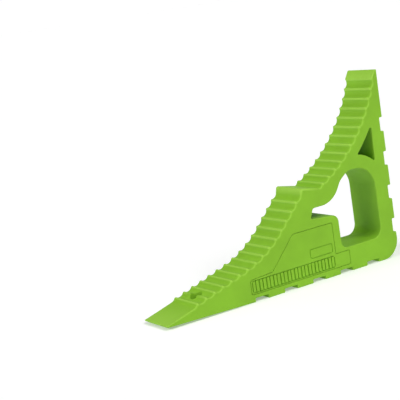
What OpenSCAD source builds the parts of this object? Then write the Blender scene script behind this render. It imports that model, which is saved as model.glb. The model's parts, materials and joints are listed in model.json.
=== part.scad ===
// Wheel chock for trailers and small vehicles.
// A thick moulded wedge whose side outline runs straight through its width: two curved,
// fluted wheel faces, a hand hole, a lightening hole and a toothed foot and rear face.
// A flush plate with plain raised bars is let into each side face.
// Millimetres. +Z up, +X to the upright rear end, -X to the thin toe, Y across the width.
// Origin: centre of the length and width, on the floor under the feet.

/* [Overall] */
// Length from the toe edge to the rear face
chock_l = 306; // [280:1:340]
// Width of the moulding
chock_w = 46; // [38:1:60]
// Height of the upright arm
chock_h = 210; // [205:1:210]

/* [Wheel faces] */
// Radius over the lips of the upper wheel face
upper_r = 176.4; // [174:0.1:180]
// Radius over the lips of the lower wheel face
lower_r = 120; // [116:0.5:124]
// Slope of the toe ramp in degrees
ramp_deg = 16.26; // [15.5:0.02:17]
// Slope of the straight stretch under the platform in degrees
steep_deg = 45; // [44:0.5:46]
// Depth of the flutes between the lips
flute_d = 2.5; // [1.5:0.1:3]
// Flat left on each lip between two flutes
lip_flat = 1.4; // [0.8:0.1:3]

/* [Feet] */
// Distance from one foot to the next, on the base and on the rear face
foot_pitch = 38; // [37:0.5:38]
// Depth of the notches between the feet
notch_d = 4; // [2:0.5:6]
// Length of a notch in the base
base_notch = 16.7; // [12:0.1:20]
// Height of a notch in the rear face
rear_notch = 15.2; // [12:0.1:20]
// Rise of the toe's underside from the first notch to the toe edge
toe_lift = 3; // [0:0.5:4]

/* [Openings] */
// Diameter of the hole in the toe
toe_hole_d = 13; // [8:0.5:16]
// Thickness of the curved arm behind the upper wheel face
arm_t = 14.6; // [12:0.2:18]
// Radius of the arch at the top of the hand hole
arch_r = 25; // [22:0.5:27]

/* [Side plates] */
// Thickness of each side plate
plate_t = 3; // [2:0.5:5]
// Gap all round a plate in its pocket
plate_gap = 0.4; // [0.3:0.1:0.6]
// Depth of the strip behind the raised bars
strip_d = 1.4; // [0.5:0.1:1.8]
// Pairs of raised bars on each plate
bar_pairs = 12; // [8:1:14]

/* [Hidden] */
$fn = 96;
eps = 1;
toe_x = -chock_l / 2;
rear_x = chock_l / 2;
side_y = chock_w / 2;

// Upper wheel face: an arc about a point in front of the arm.
upper_lips = 13;
upper_c = [-21.5, 259.8];
upper_first = 15.92;
upper_step = 3.583;
band_top = [150.2, 210];
function on_upper(i, out = 0) =
    let (a = upper_first + upper_step * i)
    upper_c + (upper_r - out) * [cos(a), -sin(a)];

// Lower wheel face: steep straight, arc, then the ramp, measured from its first lip.
lower_lips = 15;
lower_start = [21.5, 90.7];
lower_pitch = 11.3;
steep_l = 35.2;
bend_l = lower_r * (steep_deg - ramp_deg) * PI / 180;
function dir(a) = [-cos(a), -sin(a)];
function normal(a) = [-sin(a), cos(a)];
bend_start = lower_start + steep_l * dir(steep_deg);
bend_c = bend_start + lower_r * normal(steep_deg);
bend_end = bend_c - lower_r * normal(ramp_deg);
function slope_at(s) =
    s < steep_l ? steep_deg
    : s < steep_l + bend_l ? steep_deg - (s - steep_l) / lower_r * 180 / PI
    : ramp_deg;
function path_at(s) =
    s < steep_l ? lower_start + s * dir(steep_deg)
    : s < steep_l + bend_l ? bend_c - lower_r * normal(slope_at(s))
    : bend_end + (s - steep_l - bend_l) * dir(ramp_deg);
function on_lower(i, out = 0) =
    let (s = lower_pitch * i)
    path_at(s) + out * normal(slope_at(s));

// Flutes: round cuts whose rims leave a narrow flat on each lip.
upper_chord = 2 * upper_r * sin(upper_step / 2) - lip_flat;
lower_chord = lower_pitch - lip_flat;
function flute_r(chord) = (chord * chord / 4 + flute_d * flute_d) / (2 * flute_d);

// Platform between the two wheel faces.
platform_back = [56.3, 98.4];
platform_tip = [31.6, 103];
platform_nose_r = 2.6;
riser_x = 29.2;
riser_foot = 98.6;
nose_c = [riser_x + platform_nose_r, platform_tip[1] - platform_nose_r];

// Toe ramp, one flute depth below the line over the lips.
ramp_foot = on_lower(lower_lips - 0.5, -flute_d);
toe_top = ramp_foot[1] - (ramp_foot[0] - toe_x) * tan(ramp_deg);

// Feet and notches.
base_notches = 5;
rear_notches = 4;
first_base_notch = -45.3;
first_rear_notch = 28;
heel_r = 21;

// Hand hole.
hole_left = 74.8;
hole_right = 131.6;
hole_floor = 27;
floor_left_r = 8;
floor_right_r = 12;
arch_c = [106.5, 84];
seat_left = [38.4, 68.2];
seat_deg = 4.7;
function seat_z(x) = seat_left[1] - (x - seat_left[0]) * tan(seat_deg);
branch_top = 79.2;
branch_r = 3.5;
branch_c = [45.5, branch_top - branch_r];
block_r = 8;
block_c = [hole_left - block_r, seat_z(hole_left - block_r) - block_r / cos(seat_deg)];
shoulder_r = 28;
shoulder_c = [55.25, 107.2];
shoulder_edge = [78.9, 92.25];
haunch_r = 14;
haunch_c = [94.5, 90.8];
haunch_edge = [82.7, 98.3];
crown_r = 12;
crown_c = [99.8, arch_c[1] + arch_r - crown_r];
function arm_side(c, r) = c + r * (upper_c - c) / norm(upper_c - c);

// Lightening hole above the hand hole.
web_r = arch_r + 14.7;
light_right = 135.8;
light_top = 149.3;
light_r = 1.4;
light_bite = 0.15;
light_reach = web_r + light_r - light_bite;
light_dx = light_right - light_r - arch_c[0];
light_c = arch_c + [light_dx, sqrt(pow(light_reach, 2) - pow(light_dx, 2))];

// Hole in the toe.
toe_hole_x = -102;

// Side plate outline.
plate_low = 8.5;
plate_high = 58.3;
strip_top = 23.6;
plate_left = -49;
plate_right = 64.6;
tab_right = 83.4;
plate_pts = [
    [plate_left, plate_low], [tab_right, plate_low], [tab_right, strip_top],
    [plate_right, strip_top], [plate_right, plate_high], [14, plate_high],
    [8.6, 56.2], [-20, 26], [plate_left, strip_top]
];
strip_l = 110;
strip_x = -47.5;
strip_low = 9.4;
strip_h = 13.4;
bar_w = 3.3;
bar_h = 11.6;
bar_gap = 0.9;
label_x = 30.5;
label_low = 26.3;
label_l = 31;
label_h = 10.8;
label_line = 1;
label_d = 0.7;

// Straight outline over the lip tips, before the flutes are cut.
module wedge() {
    intersection() {
        polygon(concat(
            [[toe_x, toe_lift], [first_base_notch, 0], [rear_x, 0],
             [rear_x, chock_h + eps],
             band_top + eps * (band_top - on_upper(1)) / (band_top[1] - on_upper(1)[1])],
            [for (i = [1 : upper_lips]) on_upper(i)],
            [platform_back],
            [for (t = [0 : 15 : 90]) nose_c + platform_nose_r * [-sin(t), cos(t)]],
            [[riser_x, riser_foot]],
            [for (i = [0 : lower_lips - 1]) on_lower(i)],
            [ramp_foot, [toe_x, toe_top]]
        ));
        translate([toe_x, 0])
            square([chock_l, chock_h]);
    }
}

// Flutes of both wheel faces; the band at the very top of the arm stays flat.
module flutes() {
    for (i = [1 : upper_lips])
        translate(on_upper(i + 0.5, flute_r(upper_chord) - flute_d))
            circle(flute_r(upper_chord));
    for (i = [0 : lower_lips])
        translate(on_lower(i - 0.5, flute_r(lower_chord) - flute_d))
            circle(flute_r(lower_chord));
}

// Notches between the feet, and the round heel.
module foot_notches() {
    for (i = [0 : base_notches - 1])
        translate([first_base_notch + foot_pitch * i, -eps])
            square([base_notch, notch_d + eps]);
    for (i = [0 : rear_notches - 1])
        translate([rear_x - notch_d, first_rear_notch + foot_pitch * i])
            square([notch_d + eps, rear_notch]);
    difference() {
        translate([rear_x - heel_r, -eps])
            square([heel_r + eps, heel_r + eps]);
        translate([rear_x - heel_r, heel_r])
            circle(heel_r);
    }
}

// Tall round-topped opening with rounded lower corners.
module grip_window() {
    translate(arch_c)
        circle(arch_r);
    translate([hole_left, hole_floor + floor_right_r])
        square([hole_right - hole_left, arch_c[1] - hole_floor - floor_right_r]);
    translate([hole_left, hole_floor + floor_left_r])
        square([floor_left_r, floor_right_r]);
    translate([hole_left + floor_left_r, hole_floor])
        square([hole_right - hole_left - floor_left_r - floor_right_r, 2 * floor_right_r]);
    translate([hole_left + floor_left_r, hole_floor + floor_left_r])
        circle(floor_left_r);
    translate([hole_right - floor_right_r, hole_floor + floor_right_r])
        circle(floor_right_r);
}

// Branch of the hand hole that reaches toward the toe over the inner block.
module grip_branch() {
    polygon([seat_left, [arch_c[0], seat_z(arch_c[0])], [arch_c[0], branch_top],
        [branch_c[0], branch_top], [branch_c[0] - branch_r, branch_c[1]]]);
    translate(branch_c)
        circle(branch_r);
    difference() {
        translate(block_c)
            square([2 * block_r, block_r + eps]);
        translate(block_c)
            circle(block_r);
    }
    difference() {
        polygon([[shoulder_c[0], branch_top - eps], [arch_c[0], branch_top - eps],
            [arch_c[0], arch_c[1] + arch_r], [crown_c[0], arch_c[1] + arch_r],
            arm_side(crown_c, crown_r), arm_side(haunch_c, haunch_r), haunch_edge,
            shoulder_edge, [shoulder_c[0], shoulder_edge[1]]]);
        translate(shoulder_c)
            circle(shoulder_r);
    }
    translate(haunch_c)
        circle(haunch_r);
    translate(crown_c)
        circle(crown_r);
}

// The whole hand hole, kept clear of the curved arm.
module hand_hole() {
    difference() {
        union() {
            grip_window();
            grip_branch();
        }
        translate(upper_c)
            circle(upper_r + arm_t);
    }
}

// Three-sided hole between the arm, the rear wall and the web over the hand hole.
module light_hole() {
    difference() {
        translate([arch_c[0], arch_c[1]])
            square([light_right - arch_c[0], light_top - arch_c[1]]);
        translate(upper_c)
            circle(upper_r + arm_t);
        translate(arch_c)
            circle(web_r);
        difference() {
            polygon([arch_c + (web_r - eps) * (light_c - arch_c) / light_reach, light_c,
                [light_right + eps, light_c[1]], [light_right + eps, arch_c[1]]]);
            translate(light_c)
                circle(light_r);
        }
    }
}

// Turns a side outline in X and Z into a slab between two widths.
module slab(y0, y1) {
    translate([0, y1, 0])
        rotate([90, 0, 0])
            linear_extrude(y1 - y0)
                children();
}

module plate_outline() {
    polygon(plate_pts);
}

// Plate opening in the side face, wider than the plate by the gap.
module plate_pocket() {
    polygon([for (i = [0 : len(plate_pts) - 1])
        let (
            p = plate_pts[i],
            q = plate_pts[(i + 1) % len(plate_pts)],
            o = plate_pts[(i + len(plate_pts) - 1) % len(plate_pts)],
            u = (p - o) / norm(p - o),
            v = (q - p) / norm(q - p),
            turn = 1 + u * v
        )
        p + plate_gap * [u[1] + v[1], -u[0] - v[0]] / turn]);
}

module chock_body() {
    color([0.36, 0.62, 0.08])
    difference() {
        slab(-side_y, side_y)
            difference() {
                wedge();
                flutes();
                foot_notches();
                hand_hole();
                light_hole();
            }
        slab(-side_y - eps, -side_y + plate_t)
            plate_pocket();
        slab(side_y - plate_t, side_y + eps)
            plate_pocket();
        translate([toe_hole_x, 0, -eps])
            cylinder(h = 3 * lower_pitch, d = toe_hole_d);
    }
}

// One plate, outer face at y = -side_y, with a sunk strip of upright bars and a grooved blank label.
module side_plate() {
    color([0.40, 0.66, 0.10]) {
        difference() {
            slab(-side_y, -side_y + plate_t)
                plate_outline();
            slab(-side_y - eps, -side_y + strip_d)
                translate([strip_x, strip_low])
                    difference() {
                        square([strip_l, strip_h]);
                        for (i = [0 : bar_pairs - 1], side = [-1, 1])
                            translate([(i + 0.5) * strip_l / bar_pairs
                                + side * (bar_gap + bar_w) / 2 - bar_w / 2,
                                (strip_h - bar_h) / 2])
                                square([bar_w, bar_h]);
                    }
            slab(-side_y - eps, -side_y + label_d)
                translate([label_x, label_low])
                    difference() {
                        square([label_l, label_h]);
                        translate([label_line, label_line])
                            square([label_l - 2 * label_line, label_h - 2 * label_line]);
                    }
        }
    }
}

module side_plate_left() {
    side_plate();
}

module side_plate_right() {
    mirror([0, 1, 0])
        side_plate();
}

chock_body();
side_plate_left();
side_plate_right();
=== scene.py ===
"""Wheel chock: the looks of the moulding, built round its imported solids.

The chock is one thick plastic moulding whose side outline runs straight through its width, with
a flush plate let into each side face. Sizes in this file are millimetres in the side plane,
X towards the upright rear face and Z up, held as complex numbers: X + Z * 1j.
"""

from __future__ import annotations

import json
import logging
import math
from dataclasses import dataclass, field
from enum import Enum

import bmesh
import bpy
from mathutils import Matrix, Vector
from mathutils.geometry import delaunay_2d_cdt

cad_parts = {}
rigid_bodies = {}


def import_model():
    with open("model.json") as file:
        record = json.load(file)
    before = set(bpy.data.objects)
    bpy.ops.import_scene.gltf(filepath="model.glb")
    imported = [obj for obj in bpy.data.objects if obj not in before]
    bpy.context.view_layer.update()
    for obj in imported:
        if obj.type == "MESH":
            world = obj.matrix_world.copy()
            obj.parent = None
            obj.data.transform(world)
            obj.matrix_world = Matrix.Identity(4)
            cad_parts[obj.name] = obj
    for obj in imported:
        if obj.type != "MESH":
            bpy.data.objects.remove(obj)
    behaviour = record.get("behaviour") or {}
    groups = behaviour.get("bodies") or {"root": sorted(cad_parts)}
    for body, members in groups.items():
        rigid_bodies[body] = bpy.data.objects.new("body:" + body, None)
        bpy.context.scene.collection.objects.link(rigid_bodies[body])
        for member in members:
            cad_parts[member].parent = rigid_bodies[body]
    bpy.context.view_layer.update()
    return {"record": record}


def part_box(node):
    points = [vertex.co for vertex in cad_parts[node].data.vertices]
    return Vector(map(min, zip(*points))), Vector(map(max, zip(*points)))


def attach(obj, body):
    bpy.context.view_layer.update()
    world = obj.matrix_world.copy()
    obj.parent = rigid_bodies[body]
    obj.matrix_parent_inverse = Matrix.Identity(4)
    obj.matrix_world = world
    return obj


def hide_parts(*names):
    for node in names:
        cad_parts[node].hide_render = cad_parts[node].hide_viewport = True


LOG = logging.getLogger("wheel_chock")
MM = 0.001
TINY_ROUND = 0.22  # smallest radius left on a corner where its side edge has drawn in
ALL_THE_WAY = 1e6  # a depth under every rounded side edge
CREASE_DEG = 32.0  # edges of a piece that turn more than this stay sharp
EDGE_STEPS = 3  # facets round the small edges of a plate and its pocket


class Side(Enum):
    """The two side faces, by the sign of their Y."""

    LEFT = -1.0
    RIGHT = 1.0


# ---- outlines


@dataclass(frozen=True)
class Bend:
    """A round stretch of an outline.

    Attributes:
        centre: centre of the arc.
        radius: radius before any shift.
        leftward: True where travel turns left round the centre, so the material is inside it.
    """

    centre: complex
    radius: float
    leftward: bool

    def shifted(self, by: float) -> "Bend":
        """The same arc moved by a distance into the material."""
        return Bend(self.centre, self.radius + (-by if self.leftward else by), self.leftward)

    def heading(self, at: complex) -> complex:
        """Direction of travel at a point on the arc."""
        spoke = (at - self.centre) / abs(at - self.centre)
        return spoke * (1j if self.leftward else -1j)

    def nearest(self, to: complex) -> complex:
        """Point of the circle nearest to another point."""
        return self.centre + (to - self.centre) / abs(to - self.centre) * self.radius


@dataclass(frozen=True)
class Straight:
    """A straight stretch of an outline, by its start, its unit direction and its length."""

    start: complex
    along: complex
    length: float = 1.0

    def shifted(self, by: float, by_end: float | None = None) -> "Straight":
        """The same line moved into the material, which is on its left.

        Args:
            by: distance moved at the start.
            by_end: distance moved at the end, where it differs.

        Returns:
            The moved line.
        """
        lean = 0.0 if by_end is None else (by_end - by) / self.length
        turned = self.along * complex(1.0, lean)
        return Straight(self.start + 1j * self.along * by, turned / abs(turned), self.length)

    def heading(self, at: complex) -> complex:
        """Direction of travel, the same everywhere."""
        return self.along

    def nearest(self, to: complex) -> complex:
        """Foot of the perpendicular from a point."""
        return self.start + self.along * ((to - self.start) * self.along.conjugate()).real


Stretch = Bend | Straight


def meeting(one: Stretch, two: Stretch, near: complex) -> complex:
    """Point where two stretches cross.

    Args:
        one: first line or circle.
        two: second line or circle.
        near: the crossing nearest to this point is the one wanted.

    Returns:
        The crossing, or the closest approach where they only just miss.
    """
    if isinstance(one, Straight) and isinstance(two, Straight):
        gap = two.start - one.start
        cross = (one.along.conjugate() * two.along).imag
        return one.start + one.along * ((gap.conjugate() * two.along).imag / cross)
    if isinstance(two, Straight):
        one, two = two, one
    if isinstance(one, Straight):
        foot = one.nearest(two.centre)
        half = math.sqrt(max(two.radius**2 - abs(foot - two.centre) ** 2, 0.0))
        options = (foot + one.along * half, foot - one.along * half)
    else:
        span = two.centre - one.centre
        far = abs(span)
        reach = (far**2 + one.radius**2 - two.radius**2) / (2 * far)
        half = math.sqrt(max(one.radius**2 - reach**2, 0.0))
        unit = span / far
        options = tuple(one.centre + unit * (reach + 1j * way * half) for way in (1, -1))
    return min(options, key=lambda p: abs(p - near))


@dataclass(frozen=True)
class Corner:
    """A corner of an outline and the stretch that leaves it.

    Attributes:
        at: where the corner is, before it is rounded.
        ease: radius that rounds the corner.
        bend: the arc that leaves the corner, or None where a straight line leaves.
        rim: radius of the side edge along the stretch that leaves.
        rim_end: that radius at the far end of a straight stretch, where it differs.
        tangent: True where the two stretches run into each other with no corner.
        wear_and_highlight: share of the lighter edge colour on the rounded corner, partly edge
            wear and partly a painted highlight.
    """

    at: complex
    ease: float = 0.0
    bend: Bend | None = None
    rim: float = 1.0
    rim_end: float | None = None
    tangent: bool = False
    wear_and_highlight: float = 0.0


@dataclass
class Outline:
    """A closed outline with the material on its left, which shrinks towards the side faces.

    Attributes:
        corners: the corners in order of travel.
        arc_step: length of one facet along a round stretch, in millimetres.
    """

    corners: list[Corner]
    arc_step: float = 1.0

    def __post_init__(self) -> None:
        """Works out the stretches and how many points each one gets."""
        count = len(self.corners)
        self.stretches: list[Stretch] = []
        for i, corner in enumerate(self.corners):
            run = self.corners[(i + 1) % count].at - corner.at
            line = Straight(corner.at, run / abs(run), abs(run))
            self.stretches.append(corner.bend or line)
        joints = [self._joint(i, ALL_THE_WAY, 0) for i in range(count)]
        self.steps = [1] * count
        for i, stretch in enumerate(self.stretches):
            if isinstance(stretch, Bend):
                swing = self._swing(stretch, joints[i][-1], joints[(i + 1) % count][0])
                self.steps[i] = max(2, math.ceil(abs(swing) * stretch.radius / self.arc_step))

    @staticmethod
    def _swing(bend: Bend, start: complex, end: complex) -> float:
        """Angle turned round a bend from one point to another, signed by its way round."""
        turn = (end - bend.centre) / (start - bend.centre)
        angle = math.atan2(turn.imag, turn.real)
        if bend.leftward:
            return angle if angle >= 0 else angle + 2 * math.pi
        return angle if angle <= 0 else angle - 2 * math.pi

    @staticmethod
    def _inset(rim: float, depth: float) -> float:
        """How far a rounded side edge has drawn in at a depth under the side face."""
        if depth >= rim:
            return 0.0
        return rim - math.sqrt(rim**2 - (rim - depth) ** 2)

    def _drawn(self, index: int, depth: float) -> tuple[Stretch, float, float]:
        """A stretch at a depth, with how far it has drawn in at its start and at its end."""
        corner, stretch = self.corners[index], self.stretches[index]
        near = self._inset(corner.rim, depth)
        if isinstance(stretch, Bend):
            return stretch.shifted(near), near, near
        far = self._inset(corner.rim_end or corner.rim, depth)
        return stretch.shifted(near, far), near, far

    def _joint(self, index: int, depth: float, points: int) -> list[complex]:
        """Points of one corner at a depth.

        Args:
            index: which corner.
            depth: depth under the side face.
            points: facets of the rounding, or 0 for its two ends only.

        Returns:
            One point for a plain corner, else the points round its easing.
        """
        corner = self.corners[index]
        before, after = self.stretches[index - 1], self.stretches[index]
        one, _, draw_a = self._drawn(index - 1, depth)
        two, draw_b, _ = self._drawn(index, depth)
        if corner.tangent:
            bend, line = (one, two) if isinstance(one, Bend) else (two, one)
            return [line.nearest(bend.centre)]
        if corner.ease <= 0:
            return [meeting(one, two, corner.at)]
        turn = (before.heading(corner.at).conjugate() * after.heading(corner.at)).imag
        sign = 1.0 if turn > 0 else -1.0
        drawn = 0.5 * (draw_a + draw_b)
        ease = max(corner.ease - drawn, TINY_ROUND) if sign > 0 else corner.ease + drawn
        hub = meeting(one.shifted(sign * ease), two.shifted(sign * ease), corner.at)
        start, end = one.nearest(hub), two.nearest(hub)
        if points == 0:
            return [start, end]
        swing = self._swing(Bend(hub, ease, sign > 0), start, end)
        spoke = start - hub
        return [hub + spoke * complex(math.cos(a), math.sin(a))
                for a in (swing * k / points for k in range(points + 1))]

    def loop(self, depth: float) -> list[tuple[complex, float]]:
        """The outline at a depth under the side face.

        Args:
            depth: depth under the side face in millimetres; the rounded edge ends at its rim.

        Returns:
            Each point with its share of wear, always the same number of points.
        """
        count = len(self.corners)
        facets = [max(4, math.ceil(c.ease * 1.6 / self.arc_step)) for c in self.corners]
        joints = [self._joint(i, depth, facets[i]) for i in range(count)]
        found: list[tuple[complex, float]] = []
        for i, stretch in enumerate(self.stretches):
            found += [(p, self.corners[i].wear_and_highlight) for p in joints[i]]
            if not isinstance(stretch, Bend):
                continue
            bend = self._drawn(i, depth)[0]
            start, end = joints[i][-1], joints[(i + 1) % count][0]
            swing = self._swing(bend, start, end)
            spoke = start - bend.centre
            for k in range(1, self.steps[i]):
                angle = swing * k / self.steps[i]
                turned = spoke * complex(math.cos(angle), math.sin(angle))
                found.append((bend.centre + turned, 0.0))
        return found


# ---- the chock's shape


def polar(degrees: float) -> complex:
    """Unit direction at an angle in degrees."""
    return complex(math.cos(math.radians(degrees)), math.sin(math.radians(degrees)))


@dataclass(frozen=True)
class WheelFaces:
    """The fluted wheel faces: lips along an arc, and along a straight, arc and straight."""

    flute_depth: float = 2.5
    lip_flat: float = 1.4
    upper_centre: complex = -21.5 + 259.8j
    upper_radius: float = 176.4
    upper_first: float = 15.92
    upper_step: float = 3.583
    upper_lips: int = 13
    lower_start: complex = 21.5 + 90.7j
    lower_pitch: float = 11.3
    lower_lips: int = 15
    lower_radius: float = 120.0
    steep_run: float = 35.2
    steep_deg: float = 45.0
    ramp_deg: float = 16.26

    def upper(self, index: float, out: float = 0.0) -> complex:
        """Point over the upper lips, or a distance out of the material from it."""
        spoke = polar(-self.upper_first - self.upper_step * index)
        return self.upper_centre + (self.upper_radius - out) * spoke

    def lower(self, index: float, out: float = 0.0) -> complex:
        """Point over the lower lips, or a distance out of the material from it."""
        run = self.lower_pitch * index
        bend_run = self.lower_radius * math.radians(self.steep_deg - self.ramp_deg)
        steep, outward = polar(self.steep_deg), polar(self.steep_deg + 90)
        centre = self.lower_start - self.steep_run * steep + self.lower_radius * outward
        if run < self.steep_run:
            return self.lower_start - run * steep + out * outward
        if run < self.steep_run + bend_run:
            slope = self.steep_deg - math.degrees((run - self.steep_run) / self.lower_radius)
            return centre - (self.lower_radius - out) * polar(slope + 90)
        end = centre - (self.lower_radius - out) * polar(self.ramp_deg + 90)
        return end - (run - self.steep_run - bend_run) * polar(self.ramp_deg)

    def flute(self, chord: float) -> float:
        """Radius of a flute whose rims are a chord apart."""
        return (chord**2 / 4 + self.flute_depth**2) / (2 * self.flute_depth)

    @property
    def upper_flute(self) -> float:
        """Radius of the upper face's flutes."""
        chord = 2 * self.upper_radius * math.sin(math.radians(self.upper_step / 2))
        return self.flute(chord - self.lip_flat)

    @property
    def lower_flute(self) -> float:
        """Radius of the lower face's flutes."""
        return self.flute(self.lower_pitch - self.lip_flat)


@dataclass
class ChockShape:
    """Side outlines of the moulding, with the solid part's own sizes.

    Attributes:
        length: toe edge to rear face.
        height: floor to the top of the arm.
        wheel_rim: radius of the side edges along the wheel faces.
        plain_rim: radius of the other side edges.
        hole_rim: radius of the edges round the openings.
        toe_rim: radius of the side edges at the thin toe.
        band_rim: radius of the side edges along the flat band at the top.
        toe_lift: height of the toe's underside at its edge.
        riser_top: corner of the platform over its riser, before the nose rounds it.
        arch: centre of the hand hole's round top.
    """

    length: float
    height: float
    wheel_rim: float = 2.4
    plain_rim: float = 1.0
    hole_rim: float = 1.3
    faces: WheelFaces = field(default_factory=WheelFaces)
    foot_pitch: float = 38.0
    notch_depth: float = 4.0
    base_notch: float = 16.7
    rear_notch: float = 15.2
    first_base_notch: float = -45.3
    first_rear_notch: float = 28.0
    base_notches: int = 5
    rear_notches: int = 4
    foot_ease: float = 0.9
    toe_lift: float = 3.0
    toe_rim: float = 0.3
    toe_ease: float = 0.25
    heel: float = 21.0
    band_top: complex = 150.2 + 210j
    band_rim: float = 1.2
    platform_back: complex = 56.3 + 98.4j
    riser_top: complex = 30.6 + 103.5j
    nose: float = 2.6
    lip_ease: float = 1.46
    top_ease: float = 0.8
    band_ease: float = 0.6
    platform_ease: float = 1.2
    arm_radius: float = 191.0
    arch: complex = 106.5 + 84.0j
    arch_radius: float = 25.0

    def outer(self) -> Outline:
        """The whole outer outline, from the toe along the base, up the rear and down the front."""
        toe, rear = -self.length / 2, self.length / 2
        faces, rim = self.faces, self.plain_rim
        found = [Corner(complex(toe, self.toe_lift), self.toe_ease, rim=self.toe_rim,
                        rim_end=rim)]
        for i in range(self.base_notches):
            near = self.first_base_notch + self.foot_pitch * i
            found += self._notch(complex(near, 0), complex(near + self.base_notch, 0),
                                 1j * self.notch_depth)
        found.append(Corner(complex(rear, 0), self.heel, rim=rim))
        for i in range(self.rear_notches):
            low = self.first_rear_notch + self.foot_pitch * i
            found += self._notch(complex(rear, low), complex(rear, low + self.rear_notch),
                                 complex(-self.notch_depth, 0))
        # the rounded top corner gets the lighter edge colour: a painted highlight, partly standing
        # for wear
        found.append(Corner(complex(rear, self.height), self.top_ease, rim=rim, wear_and_highlight=0.6))
        found += self._upper_flutes()
        found += self._platform()
        found += self._lower_flutes()
        ramp = faces.lower(faces.lower_lips - 0.5, -faces.flute_depth)
        run = (ramp.real - toe) / math.cos(math.radians(faces.ramp_deg))
        found.append(Corner(ramp, rim=self.wheel_rim, rim_end=self.toe_rim, tangent=True))
        # the toe's rounded edge gets the same painted highlight and wear
        found.append(Corner(ramp - run * polar(faces.ramp_deg), self.toe_ease,
                            rim=self.toe_rim, wear_and_highlight=0.8))
        return Outline(found)

    def _notch(self, start: complex, end: complex, depth: complex) -> list[Corner]:
        """The four corners of a notch between two feet, with the lighter edge colour, part wear
        and part painted highlight, on their outer edges.
        """
        ease, rim = self.foot_ease, self.plain_rim
        return [Corner(start, ease, rim=rim, wear_and_highlight=0.5), Corner(start + depth, ease, rim=rim),
                Corner(end + depth, ease, rim=rim), Corner(end, ease, rim=rim, wear_and_highlight=0.5)]

    def _upper_flutes(self) -> list[Corner]:
        """Corners of the upper wheel face: a flat band at the top, then its flutes."""
        faces = self.faces
        radius = faces.upper_flute
        # the band's corner and every lip's rounding carry a painted highlight, partly also wear
        found = [Corner(self.band_top, self.band_ease, rim=self.band_rim, wear_and_highlight=0.6)]
        for i in range(1, faces.upper_lips + 1):
            hub = faces.upper(i + 0.5, radius - faces.flute_depth)
            found.append(Corner(faces.upper(i), self.lip_ease, Bend(hub, radius, False),
                                self.wheel_rim, wear_and_highlight=1.0))
        return found

    def _platform(self) -> list[Corner]:
        """Corners of the platform between the two wheel faces, and its riser."""
        faces = self.faces
        hub = faces.lower(-0.5, faces.lower_flute - faces.flute_depth)
        to_hub = hub - self.riser_top
        lean = math.asin(faces.lower_flute / abs(to_hub))
        down = to_hub / abs(to_hub) * complex(math.cos(lean), math.sin(lean))
        foot = self.riser_top + down * math.sqrt(abs(to_hub) ** 2 - faces.lower_flute**2)
        return [Corner(self.platform_back, self.platform_ease, rim=self.wheel_rim),
                # the riser's nose carries the same painted highlight and wear
                Corner(self.riser_top, self.nose, rim=self.wheel_rim, wear_and_highlight=1.0),
                Corner(foot, bend=Bend(hub, faces.lower_flute, False), rim=self.wheel_rim,
                       tangent=True)]

    def _lower_flutes(self) -> list[Corner]:
        """Corners of the lower wheel face, from the platform to the ramp."""
        faces = self.faces
        found = []
        # each lip's rounding carries a painted highlight, partly also wear
        for i in range(faces.lower_lips):
            hub = faces.lower(i + 0.5, faces.lower_flute - faces.flute_depth)
            found.append(Corner(faces.lower(i), self.lip_ease,
                                Bend(hub, faces.lower_flute, False), self.wheel_rim, wear_and_highlight=1.0))
        return found

    @property
    def arm_back(self) -> Bend:
        """The back of the curved arm, which both openings share."""
        return Bend(self.faces.upper_centre, self.arm_radius, True)

    def openings(self) -> list[Outline]:
        """The hand hole and the lightening hole."""
        return [HandHole().outline(self), LightHole().outline(self)]


@dataclass(frozen=True)
class HandHole:
    """A tall round-topped window for the hand, with a branch over the inner block.

    Attributes:
        seat: far end of the seat that the branch leaves on the inner block.
        wall_foot: a point of the sloping wall between the branch and the arm.
        eases: radii of the corners, from the low left one on round the hole.
    """

    left: float = 74.8
    right: float = 131.6
    floor: float = 27.0
    seat: complex = 38.4 + 68.2j
    seat_deg: float = 4.7
    branch_end: complex = 42.9 + 79.2j
    wall_foot: complex = 78.9 + 92.25j
    wall_deg: float = 57.7
    eases: tuple[float, ...] = (8.0, 8.0, 1.2, 3.5, 28.0, 14.0, 12.0, 25.0, 12.0)

    def outline(self, chock: ChockShape) -> Outline:
        """The hole's outline in a chock, travelled clockwise."""
        arm = chock.arm_back
        top = chock.arch.imag + chock.arch_radius
        crown_x = arm.centre.real + math.sqrt(arm.radius**2 - (top - arm.centre.imag) ** 2)
        wall = Straight(self.wall_foot, polar(self.wall_deg))
        ceiling = Straight(self.branch_end, 1 + 0j)
        fall = (self.left - self.seat.real) * math.tan(math.radians(self.seat_deg))
        elbow = meeting(wall, arm, 85 + 102j)
        corners = [complex(self.left, self.floor), complex(self.left, self.seat.imag - fall),
                   self.seat, self.branch_end, meeting(wall, ceiling, 70 + 79j), elbow,
                   complex(crown_x, top), complex(self.right, top),
                   complex(self.right, self.floor)]
        return Outline([Corner(at, ease, arm if at == elbow else None, chock.hole_rim)
                        for at, ease in zip(corners, self.eases)])


@dataclass(frozen=True)
class LightHole:
    """The three-sided hole between the arm, the rear wall and the web over the hand hole.

    Attributes:
        web: thickness of the web over the hand hole's round top.
        right: where the rear wall stands.
        eases: radii of the low left, the top and the low right corner.
    """

    web: float = 14.7
    right: float = 135.8
    eases: tuple[float, float, float] = (0.9, 1.3, 1.4)

    def outline(self, chock: ChockShape) -> Outline:
        """The hole's outline in a chock, travelled clockwise."""
        arm, rim = chock.arm_back, chock.hole_rim
        web = Bend(chock.arch, chock.arch_radius + self.web, True)
        wall = Straight(complex(self.right, 0.0), -1j)
        low, peak, heel = self.eases
        return Outline([Corner(meeting(arm, web, 113 + 123j), low, arm, rim),
                        Corner(meeting(arm, wall, 136 + 151j), peak, rim=rim),
                        Corner(meeting(web, wall, 136 + 111j), heel, web, rim)])


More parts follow.
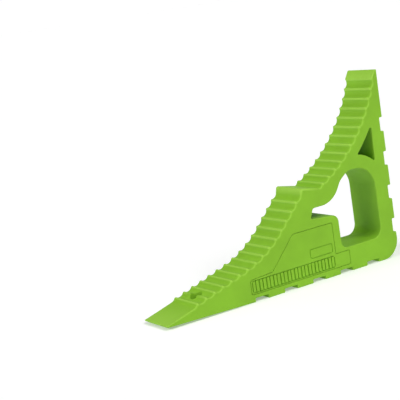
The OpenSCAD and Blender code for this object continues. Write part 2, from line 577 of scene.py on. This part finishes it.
@dataclass
class PlateShape:
    """Side outlines of a side plate, its sunk strip, its bars and its blank label.

    Attributes:
        gap: gap all round the plate in its pocket.
        thick: thickness of the plate.
        rim: radius of the edges of the plate and its pocket.
        strip_low: low left corner of the sunk strip.
        pairs: how many pairs of bars stand in the strip.
        label_line: width of the groove round the label.
        label_eases: radii of the groove's outer and inner corners.
    """

    gap: float = 0.4
    thick: float = 3.0
    rim: float = 0.35
    strip_depth: float = 1.4
    strip_low: complex = -47.5 + 9.4j
    strip_size: complex = 110.0 + 13.4j
    strip_ease: float = 3.0
    strip_rim: float = 0.3
    pairs: int = 12
    pair_gap: float = 0.9
    bar_size: complex = 3.3 + 11.6j
    label_low: complex = 30.5 + 26.3j
    label_size: complex = 31.0 + 10.8j
    label_line: float = 1.0
    label_depth: float = 0.7
    label_eases: tuple[float, float] = (2.6, 1.7)
    label_rim: float = 0.25

    def points(self) -> list[tuple[complex, float]]:
        """Corners of the plate with the radius that eases each, counter-clockwise."""
        return [(-49 + 8.5j, 2.0), (83.4 + 8.5j, 2.0), (83.4 + 23.6j, 1.6), (64.6 + 23.6j, 0.8),
                (64.6 + 58.3j, 1.6), (11.5 + 58.3j, 7.0), (-20 + 25.4j, 4.0), (-49 + 23.6j, 3.4)]

    def edge(self) -> Outline:
        """The plate's own outline."""
        return Outline([Corner(p, ease, rim=self.rim) for p, ease in self.points()])

    def pocket(self) -> Outline:
        """The pocket in the body, a gap wider all round, travelled clockwise."""
        pairs = self.points()
        grown = []
        for i, (here, ease) in enumerate(pairs):
            back, ahead = pairs[i - 1][0], pairs[(i + 1) % len(pairs)][0]
            one = Straight(here, (here - back) / abs(here - back)).shifted(-self.gap)
            two = Straight(here, (ahead - here) / abs(ahead - here)).shifted(-self.gap)
            grown.append(Corner(meeting(one, two, here), ease, rim=self.rim))
        return Outline(grown[::-1])

    @staticmethod
    def box(low: complex, size: complex, ease: float, rim: float,
            raised: bool = False) -> Outline:
        """A box with eased corners: clockwise where it is sunk, the other way where raised."""
        high = low + size
        around = [low, complex(low.real, high.imag), high, complex(high.real, low.imag)]
        return Outline([Corner(p, ease, rim=rim) for p in (around[::-1] if raised else around)],
                       arc_step=0.4)


# ---- mesh making


@dataclass
class SlabMesh:
    """Builds a closed mesh of loops that lie in planes across the width.

    Attributes:
        half_width: half of the width of the moulding, in millimetres.
        bm: the mesh being built.
    """

    half_width: float
    bm: bmesh.types.BMesh = field(default_factory=bmesh.new)

    def __post_init__(self) -> None:
        """Adds the attribute that carries edge wear and the painted highlight on lips and rounded
        edges.
        """
        self.wear_and_highlight = self.bm.verts.layers.float.new("edge_wear")

    def ring(self, outline: Outline, depth: float, side: Side, shine: float = 0.0) -> list:
        """Adds one loop of vertices.

        Args:
            outline: the outline to take.
            depth: depth under the side face, in millimetres.
            side: which side face the depth counts from.
            shine: painted highlight and wear of the loop itself, as on a rounded side edge.

        Returns:
            The new vertices, in order.
        """
        y = side.value * (self.half_width - depth)
        verts = []
        for point, wear_and_highlight in outline.loop(depth):
            vert = self.bm.verts.new(Vector((point.real, y, point.imag)) * MM)
            # painted highlight and wear from the corner or the rounded edge; none on the flat side
            # face
            vert[self.wear_and_highlight] = max(wear_and_highlight, shine) if depth > 0 else 0.0
            verts.append(vert)
        return verts

    def walls(self, outline: Outline, depth: float, side: Side) -> list[list]:
        """Adds the walls of a plate or a pocket, with a rounded edge at the side face.

        Args:
            outline: the outline to take, with the same rim all round.
            depth: how deep the walls go, in millimetres.
            side: which side face they start from.

        Returns:
            The loops of the walls, from the side face inwards.
        """
        depths = rim_depths(outline.corners[0].rim, EDGE_STEPS) + [depth]
        rings = [self.ring(outline, d, side) for d in depths]
        self.skin(rings)
        return rings

    def skin(self, rings: list[list]) -> None:
        """Joins loops of equal length with quads, in order."""
        for near, far in zip(rings, rings[1:]):
            for i in range(len(near)):
                j = (i + 1) % len(near)
                self.bm.faces.new((near[i], far[i], far[j], near[j]))

    def cap(self, loops: list[list]) -> None:
        """Fills a flat face between an outer loop and the loops of its openings."""
        verts, faces = [], []
        for loop in loops:
            twice_area = sum(a.co.x * b.co.z - b.co.x * a.co.z
                             for a, b in zip(loop, loop[1:] + loop[:1]))
            indices = list(range(len(verts), len(verts) + len(loop)))
            faces.append(indices if twice_area > 0 else indices[::-1])
            verts += loop
        spots = [Vector((v.co.x, v.co.z)) / MM for v in verts]
        inside_only = 1
        found = delaunay_2d_cdt(spots, [], faces, inside_only, 1e-6)
        triangles, origins, owners = found[2], found[3], found[5]
        for triangle, held_by in zip(triangles, owners):
            if len(held_by) == 1:
                self.bm.faces.new([verts[origins[i][0]] for i in triangle])

    def finish(self, name: str) -> bpy.types.Object:
        """Cleans the mesh and links it as an object.

        Args:
            name: name of the object and its mesh.

        Returns:
            The new object, at the origin.
        """
        bmesh.ops.remove_doubles(self.bm, verts=self.bm.verts, dist=1e-6)
        bmesh.ops.recalc_face_normals(self.bm, faces=self.bm.faces)
        return place(name, self.bm)


def place(name: str, data: bpy.types.ID | bmesh.types.BMesh) -> bpy.types.Object:
    """Puts a new object in the scene, at the origin.

    Args:
        name: name of the object, and of its mesh where one is made here.
        data: what the object shows; a mesh still being built is closed first.

    Returns:
        The new object.
    """
    if isinstance(data, bmesh.types.BMesh):
        mesh = bpy.data.meshes.new(name)
        data.to_mesh(mesh)
        data.free()
        data = mesh
    found = bpy.data.objects.new(name, data)
    bpy.context.scene.collection.objects.link(found)
    return found


def settle(piece: bpy.types.Object) -> bpy.types.Object:
    """Bakes a piece's modifiers into a plain mesh and returns the same piece."""
    bpy.context.view_layer.update()
    graph = bpy.context.evaluated_depsgraph_get()
    mesh = bpy.data.meshes.new_from_object(piece.evaluated_get(graph))
    mesh.name = piece.name
    piece.modifiers.clear()
    piece.data = mesh
    return piece


def rim_depths(rim: float, steps: int) -> list[float]:
    """Depths of the loops of a rounded edge, from the side face inwards."""
    return [rim * (1 - math.cos(math.pi / 2 * k / steps)) for k in range(steps + 1)]


def shade(piece: bpy.types.Object, half_width: float) -> None:
    """Shades a piece smooth, keeps its sharp edges sharp and its two side faces dead flat.

    Args:
        piece: the mesh object.
        half_width: distance of the side faces from the middle, in millimetres.
    """
    bm = bmesh.new()
    bm.from_mesh(piece.data)
    limit = math.radians(CREASE_DEG)
    for face in bm.faces:
        face.smooth = True
    for edge in bm.edges:
        edge.smooth = len(edge.link_faces) == 2 and edge.calc_face_angle(0.0) < limit
    bm.to_mesh(piece.data)
    bm.free()
    mesh = piece.data
    square_on, large = 0.9999, (4 * MM) ** 2
    normals = []
    for polygon in mesh.polygons:
        flat = abs(polygon.normal.y) > square_on or polygon.area > large
        for index in polygon.vertices:
            y = mesh.vertices[index].co.y
            if abs(abs(y) - half_width * MM) < 1e-6:
                normals.append((0.0, math.copysign(1.0, y), 0.0))
            else:
                normals.append(tuple(polygon.normal) if flat else (0.0, 0.0, 0.0))
    mesh.normals_split_custom_set(normals)


# ---- finishes


@dataclass
class NodeKit:
    """Short calls for building a node tree."""

    tree: bpy.types.NodeTree

    def add(self, kind: str, inputs: dict[str | int, object] | None = None,
            **settings: object) -> bpy.types.Node:
        """Adds a node.

        Args:
            kind: the node's type name.
            inputs: for each input a value, a socket, a node whose first output is meant, or
                a list of such sources.
            **settings: the node's own settings.

        Returns:
            The new node.
        """
        node = self.tree.nodes.new(kind)
        for key, value in settings.items():
            setattr(node, key, value)
        for key, value in (inputs or {}).items():
            for source in value if isinstance(value, list) else [value]:
                if isinstance(source, bpy.types.Node):
                    source = source.outputs[0]
                if isinstance(source, bpy.types.NodeSocket):
                    self.tree.links.new(source, node.inputs[key])
                else:
                    node.inputs[key].default_value = source
        return node

    def maths(self, how: str, one: object, two: object) -> bpy.types.Node:
        """A Math node over two sources or numbers."""
        return self.add("ShaderNodeMath", {0: one, 1: two}, operation=how)


@dataclass(frozen=True)
class MouldedPlastic:
    """A through-coloured plastic moulding with a fine spark-eroded surface.

    Attributes:
        colour: the plastic's own colour, linear.
        highlight_and_wear_colour: colour of the painted highlight on lips and rounded edges, which
            also stands for scuffed edges, linear.
        roughness: middle roughness.
        shine: strength of the surface reflection, 0.5 being full.
        grain: size of the fine surface grain in millimetres.
        grain_bump: height of the grain in millimetres.
        wave_bump: height of the slow waviness in millimetres.
        cloud: scale, detail and roughness of the slow clouding of the colour.
        speck: the same of the specks in colour and roughness.
        wave: the same of the slow waviness of the surface.
    """

    name: str
    colour: tuple[float, float, float]
    highlight_and_wear_colour: tuple[float, float, float]
    roughness: float = 0.52
    shine: float = 0.16
    grain: float = 0.55
    grain_bump: float = 0.02
    wave_bump: float = 0.12
    cloud: tuple[float, float, float] = (26.0, 3.0, 0.55)
    speck: tuple[float, float, float] = (420.0, 2.0, 0.6)
    wave: tuple[float, float, float] = (45.0, 1.0, 0.4)

    def build(self) -> bpy.types.Material:
        """Builds the node material."""
        material = bpy.data.materials.new(self.name)
        material.use_nodes = True
        material.node_tree.nodes.clear()
        kit = NodeKit(material.node_tree)
        at = kit.add("ShaderNodeTexCoord").outputs["Object"]
        speck = self._noise(kit, at, *self.speck)
        rough = kit.add("ShaderNodeMapRange", {
            "Value": speck, "From Min": 0.3, "From Max": 0.7,
            "To Min": self.roughness - 0.05, "To Max": self.roughness + 0.07})
        slow = kit.add("ShaderNodeBump", {
            "Strength": 1.0, "Distance": self.wave_bump * MM,
            "Height": self._noise(kit, at, *self.wave)})
        fine = kit.add("ShaderNodeBump", {
            "Strength": 1.0, "Distance": self.grain_bump * MM, "Normal": slow,
            "Height": self._noise(kit, at, 1.0 / (self.grain * MM), 2.0, 0.5)})
        shader = kit.add("ShaderNodeBsdfPrincipled", {
            "Base Color": self._colour(kit, self._noise(kit, at, *self.cloud), speck),
            "Roughness": rough, "IOR": 1.49, "Specular IOR Level": self.shine,
            "Normal": fine})
        kit.add("ShaderNodeOutputMaterial", {"Surface": shader})
        return material

    @staticmethod
    def _noise(kit: NodeKit, at: bpy.types.NodeSocket, scale: float, detail: float,
               rough: float) -> bpy.types.Node:
        """A noise pattern on the piece's own coordinates."""
        return kit.add("ShaderNodeTexNoise", {
            "Vector": at, "Scale": scale, "Detail": detail, "Roughness": rough})

    def _colour(self, kit: NodeKit, cloud: bpy.types.Node,
                speck: bpy.types.Node) -> bpy.types.NodeSocket:
        """The moulding's colour: slow clouding, fine specks, and a painted highlight on lips and
        rounded edges that also stands for scuffed edges.
        """
        ramp = kit.add("ShaderNodeValToRGB", {0: cloud})
        for stop, where, shade_by in zip(ramp.color_ramp.elements, (0.3, 0.7), (0.93, 1.06)):
            stop.position = where
            stop.color = (*(min(1.0, c * shade_by) for c in self.colour), 1.0)
        wear_and_highlight = kit.add("ShaderNodeAttribute", attribute_name="edge_wear").outputs["Fac"]
        half_or_more = kit.maths("MULTIPLY_ADD", speck, 0.5)  # it adds 0.5 by default
        patch = kit.maths("MULTIPLY", wear_and_highlight, half_or_more)
        # mix in the painted highlight on lips and rounded edges, part wear, broken up by the
        # specks
        mix = kit.add("ShaderNodeMix", {
            "Factor": patch, "A": ramp, "B": (*self.highlight_and_wear_colour, 1.0)},
            data_type="RGBA")
        return mix.outputs["Result"]


@dataclass(frozen=True)
class StudioFloor:
    """A plain white floor, lit a little from below like a light table."""

    name: str = "studio_floor"
    colour: tuple[float, float, float] = (0.80, 0.80, 0.80)
    glow: float = 0.27

    def build(self) -> bpy.types.Material:
        """Builds the floor's material."""
        material = bpy.data.materials.new(self.name)
        material.use_nodes = True
        shader = material.node_tree.nodes["Principled BSDF"]
        looks = {"Base Color": (*self.colour, 1.0), "Roughness": 0.9,
                 "Specular IOR Level": 0.1, "Emission Color": (1.0, 1.0, 1.0, 1.0),
                 "Emission Strength": self.glow}
        for name, value in looks.items():
            shader.inputs[name].default_value = value
        return material


# ---- pieces


@dataclass
class ChockBody:
    """The whole moulding: toe, wheel faces, arm, grip, openings, feet and pockets.

    Attributes:
        half_width: half of the width, in millimetres.
        plate: side outlines of the plates, for their pockets.
        rim_steps: facets round the side edges.
        rim_highlight_and_wear: most painted highlight and wear on the side edges.
        highlight_peak_at: depth of that most highlight and wear, as a share of the rounding.
    """

    half_width: float
    shape: ChockShape
    plate: PlateShape
    toe_hole_x: float
    toe_hole_radius: float
    rim_steps: int = 9
    rim_highlight_and_wear: float = 0.7
    highlight_peak_at: float = 0.3

    def build(self) -> bpy.types.Object:
        """Builds the moulding with its toe hole."""
        slab = SlabMesh(self.half_width)
        depths = rim_depths(self.shape.wheel_rim, self.rim_steps)
        edge_loops: dict[Side, list[list]] = {side: [] for side in Side}
        for outline in [self.shape.outer()] + self.shape.openings():
            # the rounded side edges get a painted highlight band, partly wear, from _shine
            left = [slab.ring(outline, d, Side.LEFT, self._shine(d)) for d in depths]
            right = [slab.ring(outline, d, Side.RIGHT, self._shine(d)) for d in depths]
            slab.skin(left + right[::-1])
            edge_loops[Side.LEFT].append(left[0])
            edge_loops[Side.RIGHT].append(right[0])
        for side in Side:
            walls = slab.walls(self.plate.pocket(), self.plate.thick, side)
            slab.cap([walls[-1]])
            slab.cap(edge_loops[side] + [walls[0]])
        piece = slab.finish("moulded_body")
        return self._drill(piece)

    def _shine(self, depth: float) -> float:
        """Painted highlight and wear of a loop of the rounded side edge, most in the middle of the
        rounding.
        """
        share = depth / self.shape.wheel_rim
        return self.rim_highlight_and_wear * max(0.0, 1 - abs(share - self.highlight_peak_at) / self.highlight_peak_at)

    def _drill(self, piece: bpy.types.Object) -> bpy.types.Object:
        """Cuts the upright hole through the toe and returns the same piece."""
        bm = bmesh.new()
        radius, length, middle, sides = self.toe_hole_radius * MM, 40.0 * MM, 15.0 * MM, 40
        bmesh.ops.create_cone(bm, cap_ends=True, segments=sides, depth=length,
                              radius1=radius, radius2=radius,
                              matrix=Matrix.Translation((self.toe_hole_x * MM, 0, middle)))
        drill = place("toe_drill", bm)
        cut = piece.modifiers.new("toe_hole", "BOOLEAN")
        cut.operation = "DIFFERENCE"
        cut.solver = "EXACT"
        cut.object = drill
        settle(piece)
        bpy.data.meshes.remove(drill.data)
        return piece

    def dress(self, piece: bpy.types.Object, finish: bpy.types.Material) -> None:
        """Shades the moulding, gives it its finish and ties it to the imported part."""
        piece.data.materials.clear()
        piece.data.materials.append(finish)
        shade(piece, self.half_width)
        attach(piece, "root")
        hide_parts("chock_body")


@dataclass
class SidePlate:
    """A flush side plate with a sunk strip of plain upright bars and a blank grooved label."""

    half_width: float
    plate: PlateShape
    side: Side
    node: str

    def build(self, finish: bpy.types.Material) -> bpy.types.Object:
        """Builds the plate and its bars as one mesh of one finish."""
        plate, slab = self.plate, SlabMesh(self.half_width)
        edge = slab.walls(plate.edge(), plate.thick, self.side)
        slab.cap([edge[-1]])
        strip = slab.walls(PlateShape.box(plate.strip_low, plate.strip_size, plate.strip_ease,
                                          plate.strip_rim), plate.strip_depth, self.side)
        slab.cap([strip[-1]])
        slab.cap([edge[0], strip[0], self._label(slab)])
        piece = slab.finish(f"plate_{self.side.name.lower()}")
        piece.data.materials.append(finish)
        return BarRow(self.half_width, self.plate, self.side).add_to(piece, finish)

    def _label(self, slab: SlabMesh) -> list:
        """Cuts the groove round the blank label and returns the groove's outer rim."""
        plate = self.plate
        line = complex(plate.label_line, plate.label_line)
        wide, narrow = plate.label_eases
        outside = PlateShape.box(plate.label_low, plate.label_size, wide, plate.label_rim)
        inside = PlateShape.box(plate.label_low + line, plate.label_size - 2 * line, narrow,
                                plate.label_rim, raised=True)
        outer = slab.walls(outside, plate.label_depth, self.side)
        inner = slab.walls(inside, plate.label_depth, self.side)
        slab.cap([outer[-1], inner[-1]])
        slab.cap([inner[0]])
        return outer[0]

    def dress(self, piece: bpy.types.Object) -> None:
        """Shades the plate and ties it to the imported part."""
        shade(piece, self.half_width)
        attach(piece, "root")
        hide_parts(self.node)


@dataclass
class BarRow:
    """The row of upright bars in a plate's strip, made with Geometry Nodes.

    Attributes:
        root: how far the bars reach under the strip's floor.
        shy: how far their tops stay under the side face.
        ease: radius of their upright corners, each made of ease_steps facets.
        brow: height over which their tops draw in.
        drawn: size of their tops as a share of their foot.
    """

    half_width: float
    plate: PlateShape
    side: Side
    root: float = 0.3
    shy: float = 0.1
    ease: float = 0.9
    ease_steps: int = 5
    brow: float = 0.25
    drawn: float = 0.84

    def add_to(self, piece: bpy.types.Object, finish: bpy.types.Material) -> bpy.types.Object:
        """Adds bars of a finish to a plate's mesh and returns the same plate."""
        tree = self._tree(finish)
        modifier = piece.modifiers.new("bars", "NODES")
        modifier.node_group = tree
        low, size, bar = self.plate.strip_low, self.plate.strip_size, self.plate.bar_size
        pitch = size.real / self.plate.pairs
        half_pair = (self.plate.pair_gap + bar.real) / 2
        foot = self.half_width - self.plate.strip_depth - self.root
        first = (low.real + pitch / 2 - half_pair, self.side.value * foot,
                 low.imag + size.imag / 2)
        rise = self.plate.strip_depth + self.root - self.shy
        values = {"Pairs": self.plate.pairs, "First": tuple(v * MM for v in first),
                  "Pitch": pitch * MM, "Pair": 2 * half_pair * MM, "Width": bar.real * MM,
                  "Height": bar.imag * MM, "Rise": rise * MM,
                  "Turn": (-self.side.value * math.pi / 2, 0.0, 0.0)}
        for item in tree.interface.items_tree:
            if item.in_out == "INPUT" and item.name in values:
                modifier[item.identifier] = values[item.name]
        return settle(piece)

    def _tree(self, finish: bpy.types.Material) -> bpy.types.NodeTree:
        """Builds the tree: two lines of points, one eased and drafted bar on each point."""
        tree = bpy.data.node_groups.new("bar_row", "GeometryNodeTree")
        kit = NodeKit(tree)
        kinds = {"Geometry": "Geometry", "Pairs": "Int", "First": "Vector", "Turn": "Vector"}
        for name in ("Geometry", "Pairs", "First", "Pitch", "Pair", "Width", "Height", "Rise",
                     "Turn"):
            tree.interface.new_socket(name, in_out="INPUT",
                                      socket_type="NodeSocket" + kinds.get(name, "Float"))
        tree.interface.new_socket("Geometry", in_out="OUTPUT", socket_type="NodeSocketGeometry")
        given = kit.add("NodeGroupInput").outputs
        step = kit.add("ShaderNodeCombineXYZ", {"X": given["Pitch"]})
        line = kit.add("GeometryNodeMeshLine", {
            "Count": given["Pairs"], "Start Location": given["First"], "Offset": step},
            mode="OFFSET")
        apart = kit.add("ShaderNodeCombineXYZ", {"X": given["Pair"]})
        second = kit.add("GeometryNodeTransform", {"Geometry": line, "Translation": apart})
        points = kit.add("GeometryNodeJoinGeometry", {"Geometry": [line, second]})
        outline = kit.add("GeometryNodeCurvePrimitiveQuadrilateral", {
            "Width": given["Width"], "Height": given["Height"]})
        eased = kit.add("GeometryNodeFilletCurve", {
            "Curve": outline, "Count": self.ease_steps, "Radius": self.ease * MM}, mode="POLY")
        filled = kit.add("GeometryNodeFillCurve", {"Curve": eased}, mode="NGONS")
        wall = kit.add("GeometryNodeExtrudeMesh", {
            "Mesh": filled,
            "Offset Scale": kit.maths("SUBTRACT", given["Rise"], self.brow * MM)}, mode="FACES")
        brow = kit.add("GeometryNodeExtrudeMesh", {
            "Mesh": wall.outputs["Mesh"], "Selection": wall.outputs["Top"],
            "Offset Scale": self.brow * MM}, mode="FACES")
        drawn = kit.add("GeometryNodeScaleElements", {
            "Geometry": brow.outputs["Mesh"], "Selection": brow.outputs["Top"],
            "Scale": self.drawn}, domain="FACE")
        sole = kit.add("GeometryNodeFlipFaces", {"Mesh": filled})
        bar = kit.add("GeometryNodeJoinGeometry", {"Geometry": [drawn, sole]})
        same_spot = 0.002 * MM
        closed = kit.add("GeometryNodeMergeByDistance", {"Geometry": bar, "Distance": same_spot})
        placed = kit.add("GeometryNodeInstanceOnPoints", {
            "Points": points, "Instance": closed, "Rotation": given["Turn"]})
        real = kit.add("GeometryNodeRealizeInstances", {"Geometry": placed})
        both = kit.add("GeometryNodeJoinGeometry", {"Geometry": [given["Geometry"], real]})
        dressed = kit.add("GeometryNodeSetMaterial", {"Geometry": both, "Material": finish})
        kit.add("NodeGroupOutput", {0: dressed})
        return tree


# ---- studio


@dataclass
class Studio:
    """Floor, lights and camera.

    Attributes:
        eye: where the camera stands, in metres; its three angles are in degrees.
        focal_px: focal length, in the unit of the frame's width frame_px.
        dome: strength of the surroundings overhead.
        horizon: their strength at the horizon; fade gives the heights between the two.
        lamps: what lamp() takes, for each lamp.
    """

    eye: tuple[float, float, float] = (-0.6725, -0.9845, 0.3173)
    azimuth: float = -31.04
    elevation: float = 10.00
    roll: float = -8.843
    focal_px: float = 1147.0
    frame_px: float = 400.0
    dome: float = 0.08
    horizon: float = 1.02
    fade: tuple[float, float] = (0.04, 0.20)
    floor_radius: float = 40.0
    lamps: tuple[tuple[str, float, float, float, float], ...] = (
        ("toe_lamp", -90.0, 35.0, 30.0, 1.64),
        ("side_lamp", 20.0, 50.0, 40.0, 2.00),
        ("back_lamp", 150.0, 50.0, 50.0, 0.25),
    )

    def camera(self) -> None:
        """Places the camera and makes it the scene's own."""
        data = bpy.data.cameras.new("studio_camera")
        data.sensor_width = 36.0
        data.lens = self.focal_px / self.frame_px * data.sensor_width
        data.clip_end = 50.0
        camera = place("studio_camera", data)
        azimuth, elevation, roll = (math.radians(a) for a in
                                    (self.azimuth, self.elevation, self.roll))
        back = Vector((math.sin(azimuth) * math.cos(elevation),
                       -math.cos(azimuth) * math.cos(elevation), math.sin(elevation)))
        right = Vector((0, 0, 1)).cross(back).normalized()
        over = back.cross(right)
        across = math.cos(roll) * right + math.sin(roll) * over
        upward = -math.sin(roll) * right + math.cos(roll) * over
        turn = Matrix((across, upward, back)).transposed().to_4x4()
        camera.matrix_world = Matrix.Translation(self.eye) @ turn
        bpy.context.scene.camera = camera

    def floor(self, finish: bpy.types.Material) -> None:
        """Lays a wide round floor under the chock."""
        bm = bmesh.new()
        bmesh.ops.create_circle(bm, cap_ends=True, segments=96, radius=self.floor_radius)
        floor = place("floor", bm)
        floor.data.materials.append(finish)

    def lamp(self, name: str, heading: float, height: float, spread_deg: float,
             strength: float) -> None:
        """Hangs a far soft light that points at the chock.

        Args:
            name: name of the light.
            heading: where it stands round the chock, in degrees, 0 being in front of the side.
            height: its height above the floor, in degrees.
            spread_deg: how wide it looks from the chock, in degrees.
            strength: light that it sends, in watts for each square metre.
        """
        data = bpy.data.lights.new(name, "SUN")
        data.angle = math.radians(spread_deg)
        data.energy = strength
        light = place(name, data)
        turn, lift = math.radians(heading), math.radians(height)
        towards = Vector((math.sin(turn) * math.cos(lift), -math.cos(turn) * math.cos(lift),
                          math.sin(lift)))
        light.matrix_world = (Matrix.Translation(towards * 3.0)
                              @ (-towards).to_track_quat("-Z", "Y").to_matrix().to_4x4())

    def light(self) -> None:
        """Sets the soft studio light and surroundings that are white only near the horizon."""
        world = bpy.data.worlds.new("studio")
        world.use_nodes = True
        kit = NodeKit(world.node_tree)
        direction = kit.add("ShaderNodeTexCoord").outputs["Generated"]
        height = kit.add("ShaderNodeSeparateXYZ", {0: direction})
        fade = kit.add("ShaderNodeMapRange", {
            "Value": height.outputs["Z"], "From Min": self.fade[0], "From Max": self.fade[1],
            "To Min": self.horizon, "To Max": self.dome})
        sky = world.node_tree.nodes["Background"]
        sky.inputs["Color"].default_value = (1.0, 1.0, 1.0, 1.0)
        world.node_tree.links.new(fade.outputs[0], sky.inputs["Strength"])
        bpy.context.scene.world = world
        for name, heading, height_deg, spread_deg, strength in self.lamps:
            self.lamp(name, heading, height_deg, spread_deg, strength)
        bpy.context.scene.view_settings.view_transform = "Standard"


def main() -> None:
    """Builds every piece in order and reports each one."""
    logging.basicConfig(level=logging.INFO, format="%(name)s: %(message)s")
    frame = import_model()
    toe_hole = next(m for m in frame["record"]["mounts"] if m["name"] == "toe_hole")
    low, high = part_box("chock_body")
    size = (high - low) / MM
    plate = PlateShape()
    # the second colour is the painted highlight on lips and rounded edges, also standing for edge
    # wear
    green = MouldedPlastic("green_moulding", (0.228, 0.482, 0.026), (0.34, 0.61, 0.075)).build()

    body = ChockBody(size.y / 2, ChockShape(size.x, size.z), plate,
                     toe_hole["pos_m"][0] / MM, toe_hole["dims"]["r_mm"])
    moulding = body.build()
    body.dress(moulding, green)
    LOG.info("moulded body: %d faces", len(moulding.data.polygons))

    for side, node in ((Side.LEFT, "side_plate_left"), (Side.RIGHT, "side_plate_right")):
        maker = SidePlate(size.y / 2, plate, side, node)
        piece = maker.build(green)
        maker.dress(piece)
        LOG.info("%s: %d faces", piece.name, len(piece.data.polygons))

    studio = Studio()
    studio.floor(StudioFloor().build())
    studio.light()
    studio.camera()
    LOG.info("studio: floor, lights and camera")


if __name__ == "__main__":
    main()
